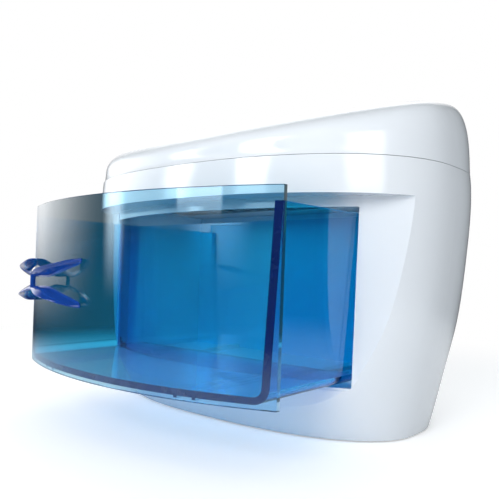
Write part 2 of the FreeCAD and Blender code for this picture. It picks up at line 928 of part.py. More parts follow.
def make_switch_housing():
    """Snap-in body of the mains switch with its bezel and pivot pin."""
    half_x = switch_length / 2 + switch_rim
    half_z = switch_height / 2 + switch_rim
    bezel = box(switch_x - half_x, switch_x + half_x, panel_y, panel_y + switch_bezel,
                panel_mid - half_z, panel_mid + half_z)
    body = fuse([switch_body(panel_y - switch_depth, panel_y), bezel])
    well_x = switch_length / 2 - switch_rim
    well_z = switch_height / 2 - switch_rim
    hollow = box(switch_x - well_x, switch_x + well_x,
                 panel_y - switch_depth + switch_rim, panel_y + switch_bezel + overrun,
                 panel_mid - well_z, panel_mid + well_z)
    pin_half = Vector(0, 0, switch_height / 2 - switch_rim / 2)
    pin = rod(rocker_pivot_radius, rocker_pivot() - pin_half, rocker_pivot() + pin_half)
    return fuse([body.cut(hollow), pin])


def make_rocker():
    """Curved rocker, tipped to off, bored for the pivot pin."""
    half_x = switch_length / 2 - switch_rim - rocker_play
    half_z = switch_height / 2 - switch_rim - rocker_play
    crown_y = panel_y + switch_bezel + rocker_stand
    pivot = rocker_pivot()
    axis = Vector(switch_x, crown_y - rocker_crown_radius, panel_mid)
    block = box(switch_x - half_x, switch_x + half_x, pivot.y - rocker_pivot_radius * 2, crown_y,
                panel_mid - half_z, panel_mid + half_z)
    barrel = rod(rocker_crown_radius, axis - Vector(0, 0, half_z), axis + Vector(0, 0, half_z))
    paddle = block.common(barrel)
    along = Vector(0, 0, switch_height)
    bore = rod(rocker_pivot_radius + rocker_pivot_play, pivot - along, pivot + along)
    paddle = paddle.cut(bore)
    paddle.rotate(pivot, Vector(0, 0, 1), rocker_tilt)
    return paddle


def make_drawer_front():
    """Bowed plate, a sector of an upright tube that narrows downwards."""
    top = Vector(0, drawer_axis, plate_top)
    foot = Vector(0, drawer_axis, plate_bottom)
    ring = rod(plate_outer_radius, foot, top).cut(rod(plate_inner_radius, foot, top))
    corners = [
        Vector(-plate_half_width, 0, plate_top),
        Vector(plate_half_width, 0, plate_top),
        Vector(plate_half_width - plate_draft, 0, plate_bottom),
        Vector(plate_draft - plate_half_width, 0, plate_bottom),
    ]
    face = Part.Face(Part.makePolygon(corners + corners[:1]))
    face.translate(Vector(0, drawer_axis - plate_outer_radius - overrun, 0))
    return ring.common(face.extrude(Vector(0, plate_outer_radius, 0)))


def make_tub():
    """Trough with drafted walls, a back and guide ribs, whose front edges meet the plate."""
    start = drawer_axis - plate_outer_radius
    back = tub_back - drawer_pull
    height = tub_rim + tub_corner
    half_high = tub_half(height)
    outer = tapered_profile(half_high, tub_half_bottom, tub_bottom, height, start, tub_corner)
    inner = tapered_profile(half_high - tub_wall, tub_half_bottom - tub_wall, tub_bottom + tub_wall,
                            height + tub_corner, start, tub_corner - tub_wall)
    trough = outer.extrude(Vector(0, back - start, 0))
    trough = trough.cut(inner.extrude(Vector(0, back - tub_wall - start, 0)))
    trough = slab(trough, tub_bottom, tub_rim)
    ribs = [rib(x, start, back) for x in rib_places()]
    reach = plate_inner_radius - glue_line
    behind = rod(reach, Vector(0, drawer_axis, 0), Vector(0, drawer_axis, seam_height))
    return fuse([trough] + ribs).common(behind)


def rib_places():
    """Middles of the guide ribs, on both sides of each rail."""
    reach = runner_width / 2 + rib_play + rib_width / 2
    return [side * runner_x + end * reach for side in (-1, 1) for end in (-1, 1)]


def rib(x, y0, y1):
    """Guide rib under the tub's floor."""
    floor_mid = tub_bottom + tub_wall / 2
    return box(x - rib_width / 2, x + rib_width / 2, y0, y1, tub_bottom - rib_height, floor_mid)


def plate_y(x):
    """Outer surface of the drawer's plate at a place across it."""
    return drawer_axis - math.sqrt(plate_outer_radius ** 2 - x ** 2)


def make_blade(side):
    """Leaf of the handle: its tips meet the plate, its middle stands clear and its front edge flares away."""
    turn = math.radians(blade_tilt)
    across = Vector(0, math.cos(turn), -side * math.sin(turn))
    through = Vector(0, side * math.sin(turn), math.cos(turn))
    last = len(blade_width_shares) - 1
    rings = []
    for step in range(-last, last + 1):
        share = step / last
        x = handle_x + handle_half_length * share
        stand = handle_standoff * (1 - abs(share) ** handle_bow_power)
        rise = blade_spacing / 2 + blade_rise * share ** 2
        half_depth = blade_depth * blade_width_shares[abs(step)] / 2
        centre = Vector(x, plate_y(x) - stand, handle_z + side * rise)
        ellipse = Part.Ellipse(centre + across * half_depth, centre + through * (blade_thickness / 2), centre)
        rings.append(Part.Wire([ellipse.toShape()]))
    leaf = Part.makeLoft(rings, True, False)
    reach = plate_outer_radius + glue_line
    return leaf.cut(rod(reach, Vector(0, drawer_axis, plate_bottom), Vector(0, drawer_axis, plate_top)))


def make_post(blades):
    """Short post between the blades, shaped to them at both ends."""
    reach = Vector(0, 0, blade_spacing / 2)
    middle = Vector(handle_x, plate_y(handle_x) - handle_standoff, handle_z)
    post = rod(post_radius, middle - reach, middle + reach)
    for blade in blades:
        post = post.cut(blade)
    return max(post.Solids, key=lambda solid: solid.Volume)


def save(name, shape):
    """Write one node and report its solids."""
    shape.exportStep("parts/" + name + ".step")
    print(name, len(shape.Solids), shape.isValid(), round(shape.Volume))


def main():
    """Build every node."""
    os.makedirs("parts", exist_ok=True)
    upper_blade = make_blade(1)
    lower_blade = make_blade(-1)
    nodes = {
        "main_housing": make_housing(),
        "top_cover": make_cover(),
        "base_plate": make_base(),
        "base_screws": make_base_screws(),
        "feet": make_feet(),
        "chassis_plate": make_chassis(),
        "chassis_screws": make_chassis_screws(),
        "chamber_liner": make_liner(),
        "runner_left": make_runner(-1),
        "runner_right": make_runner(1),
        "lamp_guard": make_guard(),
        "lamp_tube": make_lamp_tube(),
        "lamp_caps": make_lamp_caps(),
        "lamp_pins": make_lamp_pins(),
        "lamp_rotors": make_lamp_rotors(),
        "lamp_holder_right": make_lamp_holder(),
        "lamp_holder_left": mirror_x(make_lamp_holder()),
        "reflector": make_reflector(),
        "ballast": make_ballast(),
        "ballast_screws": make_ballast_screws(),
        "starter_holder": make_starter_holder(),
        "starter": make_starter(),
        "terminal_block": make_terminal_block(),
        "wiring": make_wiring(),
        "interlock_body": make_interlock_body(),
        "interlock_plunger": make_plunger(),
        "rear_panel": make_rear_panel(),
        "rear_screws": make_rear_screws(),
        "mains_inlet": make_inlet(),
        "inlet_pins": make_inlet_pins(),
        "switch_housing": make_switch_housing(),
        "power_rocker": make_rocker(),
        "drawer_front": make_drawer_front(),
        "drawer_tub": make_tub(),
        "handle_upper_blade": upper_blade,
        "handle_lower_blade": lower_blade,
        "handle_post": make_post([upper_blade, lower_blade]),
    }
    for name, shape in nodes.items():
        save(name, shape)


main()
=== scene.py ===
"""Looks of a drawer-type ultraviolet sterilizer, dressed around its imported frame.

All sizes are in metres, in the frame of the solids: +Z up, the drawer opens towards -Y.
"""

from __future__ import annotations

import logging
import math
from dataclasses import dataclass
from enum import Enum
from typing import Callable, Dict, Optional, Sequence, Tuple, Union

import bmesh
import bpy
from mathutils import Matrix, Vector


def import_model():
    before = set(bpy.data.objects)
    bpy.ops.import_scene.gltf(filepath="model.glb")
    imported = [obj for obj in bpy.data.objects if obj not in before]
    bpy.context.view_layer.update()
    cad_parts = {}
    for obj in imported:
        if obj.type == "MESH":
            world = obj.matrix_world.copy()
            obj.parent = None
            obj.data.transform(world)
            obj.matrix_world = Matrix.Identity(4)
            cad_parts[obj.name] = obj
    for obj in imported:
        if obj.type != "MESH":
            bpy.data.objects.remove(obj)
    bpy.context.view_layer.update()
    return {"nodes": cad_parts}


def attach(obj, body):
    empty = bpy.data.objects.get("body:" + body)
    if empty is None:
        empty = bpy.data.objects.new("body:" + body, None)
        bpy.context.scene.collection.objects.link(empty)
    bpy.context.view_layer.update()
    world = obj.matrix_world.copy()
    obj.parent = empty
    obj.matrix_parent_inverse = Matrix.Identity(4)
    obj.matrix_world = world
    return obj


LOG = logging.getLogger("sterilizer_looks")
MM = 0.001
FACING = 0.85
WELD = 0.02 * MM
TO_FRONT = Vector((0.0, -1.0, 0.0))
UPWARD = Vector((0.0, 0.0, 1.0))
WHITE = (1.0, 1.0, 1.0)

# Noise seldom leaves this range, so it is spread from here
NOISE_LOW = 0.3
NOISE_HIGH = 0.7

# Places of the colour sockets on a Mix node
MIX_FIRST = 6
MIX_SECOND = 7
MIX_RESULT = 2

Colour = Tuple[float, float, float]
Feed = Union[float, Sequence[float], bpy.types.NodeSocket]
FaceTest = Callable[[bmesh.types.BMFace, Vector], bool]


class Body(Enum):
    """Rigid bodies of the frame that added pieces ride on."""

    CASE = "case"
    DRAWER = "drawer"


def with_alpha(colour: Colour) -> Tuple[float, float, float, float]:
    """Colour with full cover."""
    return (*colour, 1.0)


class NodeSheet:
    """Node tree of a material, a lamp or the world under construction."""

    def __init__(self, tree: bpy.types.NodeTree) -> None:
        """Start from an empty tree.

        Args:
            tree: Node tree to fill.
        """
        self.tree = tree
        self.tree.nodes.clear()

    def add(self, kind: str, **inputs: Feed) -> bpy.types.Node:
        """Add a node and fill its sockets.

        Args:
            kind: Node type without its ShaderNode prefix.
            inputs: Values or sockets by input name, with underscores for spaces.

        Returns:
            The new node.
        """
        node = self.tree.nodes.new("ShaderNode" + kind)
        for name, value in inputs.items():
            self.feed(node, name.replace("_", " "), value)
        return node

    def feed(self, node: bpy.types.Node, key: Union[str, int], value: Feed) -> None:
        """Set one input from a value or a socket.

        Args:
            node: Node that gets the value.
            key: Name or place of its input.
            value: Number, colour or output socket.
        """
        if isinstance(value, bpy.types.NodeSocket):
            self.tree.links.new(value, node.inputs[key])
        else:
            node.inputs[key].default_value = value

    def ramp(
        self,
        source: bpy.types.NodeSocket,
        low: Feed,
        high: Feed,
        start: float = 0.0,
        end: float = 1.0,
        smooth: bool = False,
    ) -> bpy.types.NodeSocket:
        """Values that run from one result to another.

        Args:
            source: Socket that leads from the first result to the second.
            low: Result where the source is at its start.
            high: Result where the source is at its end.
            start: Source value of the first result.
            end: Source value of the second result.
            smooth: Whether the run eases in and out.

        Returns:
            Socket with the results.
        """
        node = self.add("MapRange", Value=source, From_Min=start, From_Max=end, To_Min=low, To_Max=high)
        if smooth:
            node.interpolation_type = "SMOOTHSTEP"
        return node.outputs["Result"]

    def product(self, first: bpy.types.NodeSocket, second: Feed) -> bpy.types.NodeSocket:
        """Product of a socket and a number or another socket.

        Args:
            first: Socket with a number.
            second: Number or socket.

        Returns:
            Socket with the product.
        """
        node = self.add("Math")
        node.operation = "MULTIPLY"
        self.feed(node, 0, first)
        self.feed(node, 1, second)
        return node.outputs[0]

    def blend(
        self, share: bpy.types.NodeSocket, first: bpy.types.Node, second: bpy.types.Node
    ) -> bpy.types.Node:
        """Mix of two shaders.

        Args:
            share: Share of the second shader.
            first: Shader node for a share of 0.
            second: Shader node for a share of 1.

        Returns:
            The mixing node.
        """
        node = self.add("MixShader")
        for place, socket in enumerate((share, first.outputs[0], second.outputs[0])):
            self.feed(node, place, socket)
        return node


class MaterialSheet(NodeSheet):
    """Node tree of one material under construction."""

    def __init__(self, name: str) -> None:
        """Start an empty material.

        Args:
            name: Name of the material.
        """
        self.material = bpy.data.materials.new(name)
        self.material.use_nodes = True
        super().__init__(self.material.node_tree)
        self.output = self.add("OutputMaterial")
        self.place = self.add("TexCoord").outputs["Object"]

    def noise(
        self, scale: float, detail: float = 3.0, stretch: Sequence[float] = (1.0, 1.0, 1.0)
    ) -> bpy.types.NodeSocket:
        """Noise in the object's own coordinates.

        Args:
            scale: Waves per metre.
            detail: Octaves of finer noise.
            stretch: Scale of each axis.

        Returns:
            Socket with values about one half.
        """
        spot = self.add("Mapping", Vector=self.place, Scale=tuple(stretch)).outputs["Vector"]
        return self.add("TexNoise", Vector=spot, Scale=scale, Detail=detail).outputs["Fac"]

    def spread(self, source: bpy.types.NodeSocket, low: float, high: float) -> bpy.types.NodeSocket:
        """Noise values spread between two numbers."""
        return self.ramp(source, low, high, NOISE_LOW, NOISE_HIGH)

    def tint(self, source: bpy.types.NodeSocket, first: Colour, second: Colour) -> bpy.types.NodeSocket:
        """Colour that wanders between two shades.

        Args:
            source: Socket with values about one half.
            first: Shade for the lowest values.
            second: Shade for the highest values.

        Returns:
            Colour socket.
        """
        node = self.add("Mix")
        node.data_type = "RGBA"
        self.feed(node, "Factor", self.spread(source, 0.0, 1.0))
        self.feed(node, MIX_FIRST, with_alpha(first))
        self.feed(node, MIX_SECOND, with_alpha(second))
        return node.outputs[MIX_RESULT]

    def bump(self, source: bpy.types.NodeSocket, depth: float, strength: float) -> bpy.types.NodeSocket:
        """Surface normal with a relief of a depth in metres, of which a share shows."""
        return self.add("Bump", Height=source, Distance=depth, Strength=strength).outputs["Normal"]

    def finish(self, surface: bpy.types.Node) -> bpy.types.Material:
        """Join the surface shader to the output and hand over the material."""
        self.feed(self.output, "Surface", surface.outputs[0])
        return self.material


@dataclass(frozen=True)
class MouldedPlastic:
    """Opaque moulded plastic with a little mottle and fine relief.

    Attributes:
        name: Name of the material.
        colour: Main colour.
        shade: Colour of the mottle's darker spots.
        smooth: Roughness of the shiniest spots.
        rough: Roughness of the dullest spots.
        grain: Waves of the relief per metre.
        depth: Depth of the relief.
        coat: Strength of the glossy skin.
        coat_rough: Roughness of the glossy skin.
        mottle: Waves of the mottle per metre.
        patches: Waves of the roughness per metre.
        grain_detail: Octaves of the relief.
        relief: Share of the relief that shows.
        refraction: Index of refraction.
    """

    name: str
    colour: Colour
    shade: Colour
    smooth: float
    rough: float
    grain: float
    depth: float
    coat: float = 0.0
    coat_rough: float = 0.12
    mottle: float = 9.0
    patches: float = 70.0
    grain_detail: float = 2.0
    relief: float = 0.25
    refraction: float = 1.5

    def make(self) -> bpy.types.Material:
        """Build the material.

        Returns:
            The new material.
        """
        sheet = MaterialSheet(self.name)
        grain = sheet.noise(self.grain, self.grain_detail)
        plastic = sheet.add(
            "BsdfPrincipled",
            Base_Color=sheet.tint(sheet.noise(self.mottle), self.shade, self.colour),
            Roughness=sheet.spread(sheet.noise(self.patches), self.smooth, self.rough),
            Normal=sheet.bump(grain, self.depth, self.relief),
            IOR=self.refraction,
            Coat_Weight=self.coat,
            Coat_Roughness=self.coat_rough,
        )
        return sheet.finish(plastic)


@dataclass(frozen=True)
class ClearPlastic:
    """Tinted see-through plastic whose colour deepens with the length of the light's path.

    Attributes:
        name: Name of the material.
        surface: Colour that the surface itself gives.
        tint: Colour of the inside.
        density: Strength of the tint per metre.
        cast: Colour of the light that falls through onto other things.
        clear: Share of the surface that is see-through.
        smooth: Roughness of the shiniest spots.
        rough: Roughness of the dullest spots.
        patches: Waves of the roughness per metre.
        refraction: Index of refraction.
    """

    name: str
    surface: Colour
    tint: Colour
    density: float
    cast: Colour
    clear: float = 1.0
    smooth: float = 0.004
    rough: float = 0.016
    patches: float = 40.0
    refraction: float = 1.49

    def make(self) -> bpy.types.Material:
        """Build the material.

        Returns:
            The new material.
        """
        sheet = MaterialSheet(self.name)
        clear = sheet.add(
            "BsdfPrincipled",
            Base_Color=with_alpha(self.surface),
            Roughness=sheet.spread(sheet.noise(self.patches), self.smooth, self.rough),
            IOR=self.refraction,
            Transmission_Weight=self.clear,
        )
        shadow = sheet.add("BsdfTransparent", Color=with_alpha(self.cast))
        path = sheet.add("LightPath")
        inside = sheet.add("VolumeAbsorption", Color=with_alpha(self.tint), Density=self.density)
        sheet.feed(sheet.output, "Volume", inside.outputs[0])
        return sheet.finish(sheet.blend(path.outputs["Is Shadow Ray"], clear, shadow))


@dataclass(frozen=True)
class SheetMetal:
    """Rolled or brushed metal with fine lines along one axis.

    Attributes:
        name: Name of the material.
        colour: Main colour.
        shade: Colour of the darker spots.
        smooth: Roughness of the shiniest lines.
        rough: Roughness of the dullest lines.
        lines: Scale of the lines along each axis.
        streaks: Waves of the lines per metre.
        streak_detail: Octaves of the lines.
        mottle: Waves of the colour per metre.
        depth: Depth of the lines.
        relief: Share of the depth that shows.
    """

    name: str
    colour: Colour
    shade: Colour
    smooth: float
    rough: float
    lines: Tuple[float, float, float]
    streaks: float = 30.0
    streak_detail: float = 4.0
    mottle: float = 12.0
    depth: float = 0.00005
    relief: float = 0.3

    def make(self) -> bpy.types.Material:
        """Build the material.

        Returns:
            The new material.
        """
        sheet = MaterialSheet(self.name)
        streak = sheet.noise(self.streaks, self.streak_detail, self.lines)
        metal = sheet.add(
            "BsdfPrincipled",
            Base_Color=sheet.tint(sheet.noise(self.mottle), self.shade, self.colour),
            Metallic=1.0,
            Roughness=sheet.spread(streak, self.smooth, self.rough),
            Normal=sheet.bump(streak, self.depth, self.relief),
        )
        return sheet.finish(metal)


@dataclass(frozen=True)
class SoftRubber:
    """Dull rubber with a fine tooth.

    Attributes:
        name: Name of the material.
        colour: Main colour.
        shade: Colour of the darker spots.
        smooth: Roughness of the shiniest spots.
        rough: Roughness of the dullest spots.
        mottle: Waves of the colour per metre.
        patches: Waves of the roughness per metre.
        tooth: Waves of the relief per metre.
        tooth_detail: Octaves of the relief.
        depth: Depth of the relief.
        relief: Share of the relief that shows.
    """

    name: str
    colour: Colour
    shade: Colour
    smooth: float = 0.72
    rough: float = 0.9
    mottle: float = 60.0
    patches: float = 200.0
    tooth: float = 1500.0
    tooth_detail: float = 2.0
    depth: float = 0.00015
    relief: float = 0.5

    def make(self) -> bpy.types.Material:
        """Build the material.

        Returns:
            The new material.
        """
        sheet = MaterialSheet(self.name)
        tooth = sheet.noise(self.tooth, self.tooth_detail)
        rubber = sheet.add(
            "BsdfPrincipled",
            Base_Color=sheet.tint(sheet.noise(self.mottle), self.shade, self.colour),
            Roughness=sheet.spread(sheet.noise(self.patches), self.smooth, self.rough),
            Normal=sheet.bump(tooth, self.depth, self.relief),
        )
        return sheet.finish(rubber)


Finish = Union[MouldedPlastic, ClearPlastic, SheetMetal, SoftRubber]

SHELL_WHITE = MouldedPlastic(
    "shell_white", (0.80, 0.84, 0.885), (0.785, 0.825, 0.872),
    smooth=0.07, rough=0.13, grain=420.0, depth=0.00004, coat=0.5,
)
PLATE_BLUE = ClearPlastic(
    "plate_blue", (0.95, 0.98, 1.0), tint=(0.05, 0.70, 0.93), density=200.0, cast=(0.90, 0.965, 0.99)
)
TUB_BLUE = ClearPlastic(
    "tub_blue", (0.95, 0.98, 1.0), tint=(0.016, 0.883, 0.981), density=630.0, cast=(0.86, 0.96, 0.99)
)
HANDLE_NAVY = ClearPlastic(
    "handle_navy", (0.02, 0.11, 0.48), tint=(0.01, 0.70, 0.94), density=300.0, cast=(0.40, 0.70, 0.94),
    clear=0.6,
)
# Painted light: a pale copy of the navy glue bead for the left end, standing in for the light that it
# catches there
BEAD_PAINTED_LIGHT = MouldedPlastic(
    "bead_painted_light", (0.20, 0.52, 0.84), (0.17, 0.47, 0.80),
    smooth=0.2, rough=0.3, grain=300.0, depth=0.00002,
)
BEAD_NAVY = MouldedPlastic(
    "bead_navy", (0.002, 0.018, 0.14), (0.002, 0.014, 0.12),
    smooth=0.2, rough=0.3, grain=300.0, depth=0.00002,
)
EDGE_NAVY = MouldedPlastic(
    "edge_navy", (0.004, 0.028, 0.085), (0.003, 0.022, 0.07),
    smooth=0.08, rough=0.16, grain=300.0, depth=0.00002,
)
BASE_GREY = MouldedPlastic(
    "base_grey", (0.70, 0.73, 0.76), (0.66, 0.69, 0.72),
    smooth=0.4, rough=0.55, grain=900.0, depth=0.00012,
)
RAIL_WHITE = MouldedPlastic(
    "rail_white", (0.76, 0.76, 0.73), (0.72, 0.72, 0.69),
    smooth=0.3, rough=0.45, grain=700.0, depth=0.00006,
)
HOLDER_WHITE = MouldedPlastic(
    "holder_white", (0.78, 0.78, 0.75), (0.74, 0.74, 0.71),
    smooth=0.3, rough=0.42, grain=800.0, depth=0.00006,
)
BLACK_PLASTIC = MouldedPlastic(
    "black_plastic", (0.016, 0.016, 0.018), (0.012, 0.012, 0.013),
    smooth=0.28, rough=0.42, grain=1200.0, depth=0.00008,
)
STARTER_CAN = MouldedPlastic(
    "starter_can", (0.62, 0.64, 0.66), (0.58, 0.60, 0.62),
    smooth=0.3, rough=0.42, grain=600.0, depth=0.00005,
)
LEAD_SHEATH = MouldedPlastic(
    "lead_sheath", (0.30, 0.32, 0.35), (0.26, 0.28, 0.31),
    smooth=0.4, rough=0.5, grain=900.0, depth=0.00005,
)
BALLAST_PAINT = MouldedPlastic(
    "ballast_paint", (0.28, 0.30, 0.33), (0.24, 0.26, 0.29),
    smooth=0.35, rough=0.5, grain=700.0, depth=0.00006,
)
CHAMBER_ENAMEL = MouldedPlastic(
    "chamber_enamel", (0.84, 0.86, 0.87), (0.81, 0.83, 0.84),
    smooth=0.3, rough=0.45, grain=500.0, depth=0.00005,
)
LINER_ALUMINIUM = SheetMetal(
    "liner_aluminium", (0.86, 0.87, 0.88), (0.82, 0.83, 0.84),
    smooth=0.2, rough=0.32, lines=(1.0, 14.0, 1.0),
)
PLATED_STEEL = SheetMetal(
    "plated_steel", (0.62, 0.63, 0.65), (0.56, 0.57, 0.59),
    smooth=0.22, rough=0.36, lines=(6.0, 6.0, 1.0),
)
CHASSIS_STEEL = SheetMetal(
    "chassis_steel", (0.60, 0.61, 0.63), (0.55, 0.56, 0.58),
    smooth=0.3, rough=0.45, lines=(1.0, 18.0, 1.0),
)
CONTACT_BRASS = SheetMetal(
    "contact_brass", (0.80, 0.60, 0.26), (0.72, 0.53, 0.22),
    smooth=0.2, rough=0.34, lines=(1.0, 10.0, 10.0),
)
FOOT_RUBBER = SoftRubber("foot_rubber", (0.045, 0.045, 0.048), (0.035, 0.035, 0.037))
QUARTZ = ClearPlastic(
    "quartz", (0.96, 0.98, 1.0), tint=(0.90, 0.95, 1.0), density=4.0, cast=(0.9, 0.95, 1.0)
)


def faces_front(face: bmesh.types.BMFace, middle: Vector) -> bool:
    """Tell whether a face in the front half of a solid looks to the front."""
    return face.normal.y < -FACING and face.calc_center_median().y < middle.y


def faces_up_or_down(face: bmesh.types.BMFace, middle: Vector) -> bool:
    """Tell whether a face looks up or down."""
    return abs(face.normal.z) > FACING


def keep_between(shape: bmesh.types.BMesh, heights: Sequence[float]) -> None:
    """Cut away what lies below the first height and above the second.

    Args:
        shape: Mesh to cut.
        heights: Lowest and highest place that stays, or none to leave the mesh whole.
    """
    for height, outwards in zip(heights, (-UPWARD, UPWARD)):
        everything = shape.verts[:] + shape.edges[:] + shape.faces[:]
        bmesh.ops.bisect_plane(
            shape, geom=everything, plane_co=UPWARD * height, plane_no=outwards, clear_outer=True
        )


def keep_faces(shape: bmesh.types.BMesh, wanted: FaceTest) -> None:
    """Delete the faces that a test doesn't pick, and weld the rest.

    Args:
        shape: Mesh that keeps only the picked faces.
        wanted: Test that picks them.
    """
    shape.normal_update()
    middle = sum((vertex.co for vertex in shape.verts), Vector()) / len(shape.verts)
    spare = [face for face in shape.faces if not wanted(face, middle)]
    bmesh.ops.delete(shape, geom=spare, context="FACES")
    bmesh.ops.remove_doubles(shape, verts=shape.verts[:], dist=WELD)
    shape.normal_update()


def thicken(shape: bmesh.types.BMesh, lift: float, thickness: float, way: Optional[Vector]) -> None:
    """Turn an open mesh into a closed sheet.

    Args:
        shape: Mesh of the faces to cover.
        lift: Gap between those faces and the sheet.
        thickness: Thickness of the sheet.
        way: Direction in which the sheet grows, or none for the faces' own.
    """
    rim = [edge for edge in shape.edges if edge.is_boundary]
    twins = {}
    for vertex in shape.verts[:]:
        grow = way or vertex.normal.copy()
        vertex.co += grow * lift
        twins[vertex] = shape.verts.new(vertex.co + grow * thickness)
    for face in shape.faces[:]:
        shape.faces.new([twins[vertex] for vertex in face.verts])
    for edge in rim:
        first, second = edge.verts
        shape.faces.new((first, second, twins[second], twins[first]))
    bmesh.ops.recalc_face_normals(shape, faces=shape.faces[:])


class Workshop:
    """Nodes of the frame, and materials by finish, made once each."""

    def __init__(self, nodes: Dict[str, bpy.types.Object]) -> None:
        """Keep the frame's nodes.

        Args:
            nodes: Objects of the frame by name.
        """
        self.nodes = nodes
        self.made: Dict[str, bpy.types.Material] = {}

    def material(self, finish: Finish) -> bpy.types.Material:
        """Material of a finish.

        Args:
            finish: One of the finishes above.

        Returns:
            The material, shared by all pieces with this finish.
        """
        if finish.name not in self.made:
            self.made[finish.name] = finish.make()
        return self.made[finish.name]

    def dress(self, finish: Finish, *names: str) -> None:
        """Give nodes of the frame a finish.

        Args:
            finish: One of the finishes above.
            names: Names of the nodes.
        """
        for name in names:
            slots = self.nodes[name].data.materials
            slots.clear()
            slots.append(self.material(finish))
            LOG.info("dressed %s in %s", name, finish.name)

    def laid_sheet(
        self,
        name: str,
        node: str,
        wanted: FaceTest,
        lift: float,
        thickness: float,
        way: Optional[Vector] = None,
        heights: Sequence[float] = (),
    ) -> bpy.types.Object:
        """Sheet that covers some faces of a solid.

        Args:
            name: Name of the new piece.
            node: Name of the solid's node.
            wanted: Test that picks the faces to cover.
            lift: Gap between the solid and the sheet.
            thickness: Thickness of the sheet.
            way: Direction in which the sheet grows, or none for the faces' own.
            heights: Lowest and highest place that is covered, or none for all of the solid.

        Returns:
            The sheet as an object of its own.
        """
        solid = self.nodes[node]
        shape = bmesh.new()
        shape.from_mesh(solid.data)
        shape.transform(solid.matrix_world)
        keep_between(shape, heights)
        keep_faces(shape, wanted)
        thicken(shape, lift, thickness, way)
        mesh = bpy.data.meshes.new(name)
        shape.to_mesh(mesh)
        shape.free()
        return bpy.data.objects.new(name, mesh)

    def add_piece(self, piece: bpy.types.Object, finish: Finish, body: Body) -> None:
        """Add a piece of its own to the part.

        Args:
            piece: Object that isn't in the scene yet.
            finish: One of the finishes above.
            body: Body that the piece rides on.
        """
        bpy.context.scene.collection.objects.link(piece)
        piece.data.materials.append(self.material(finish))
        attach(piece, body.value)
        LOG.info("added %s to %s", piece.name, body.value)


@dataclass
class Cabinet:
    """White case with its base, feet and fasteners."""

    shell: Tuple[str, ...] = ("main_housing", "top_cover")
    base: Tuple[str, ...] = ("base_plate", "rear_panel")
    fasteners: Tuple[str, ...] = ("base_screws", "chassis_screws", "rear_screws", "ballast_screws")

    def dress(self, shop: Workshop) -> None:
        """Give the case its finishes.

        Args:
            shop: Nodes and materials.
        """
        shop.dress(SHELL_WHITE, *self.shell)
        shop.dress(BASE_GREY, *self.base)
        shop.dress(PLATED_STEEL, *self.fasteners)
        shop.dress(FOOT_RUBBER, "feet")


@dataclass
class Drawer:
    """Clear blue drawer with its dark pull.

    Attributes:
        pull: Nodes of the pull.
        plate: Node of the bowed front plate.
        tub: Node of the trough behind it.
        lit_turn: How far to the left a glued face looks where it catches the light.
        lift: Gap between a solid and the trim on it.
        bead_thickness: Thickness of the glue beads.
        edge_thickness: Thickness of the plate's dark edge.
    """

    pull: Tuple[str, ...] = ("handle_upper_blade", "handle_lower_blade", "handle_post")
    plate: str = "drawer_front"
    tub: str = "drawer_tub"
    lit_turn: float = 0.385
    lift: float = 0.03 * MM
    bead_thickness: float = 0.09 * MM
    edge_thickness: float = 0.25 * MM

    def dress(self, shop: Workshop) -> None:
        """Give the drawer its finishes, the plate its dark edge and the glue line its beads, the one at
        the left end painted lighter as painted light.

        Args:
            shop: Nodes and materials.
        """
        shop.dress(PLATE_BLUE, self.plate)
        shop.dress(TUB_BLUE, self.tub)
        shop.dress(HANDLE_NAVY, *self.pull)
        trims = (
            ("plate_edge", self.plate, faces_up_or_down, self.edge_thickness, EDGE_NAVY, "navy_plastic"),
            ("glue_bead", self.tub, self.is_dark_seam, self.bead_thickness, BEAD_NAVY, "navy_plastic"),
            # The bead at the left end is painted pale: painted light where it catches the light
            ("glue_bead_painted_light", self.tub, self.is_lit_seam, self.bead_thickness, BEAD_PAINTED_LIGHT, "clear_blue"),
        )
        for name, node, wanted, thickness, finish, slot in trims:
            piece = shop.laid_sheet(name, node, wanted, self.lift, thickness)
            shop.add_piece(piece, finish, Body.DRAWER)

    def is_lit_seam(self, face: bmesh.types.BMFace, middle: Vector) -> bool:
        """Tell whether a glued face is at the left end, which catches the light."""
        return faces_front(face, middle) and face.normal.x < -self.lit_turn

    def is_dark_seam(self, face: bmesh.types.BMFace, middle: Vector) -> bool:
        """Tell whether a glued face is along the bottom or at the right end."""
        return faces_front(face, middle) and not self.is_lit_seam(face, middle)


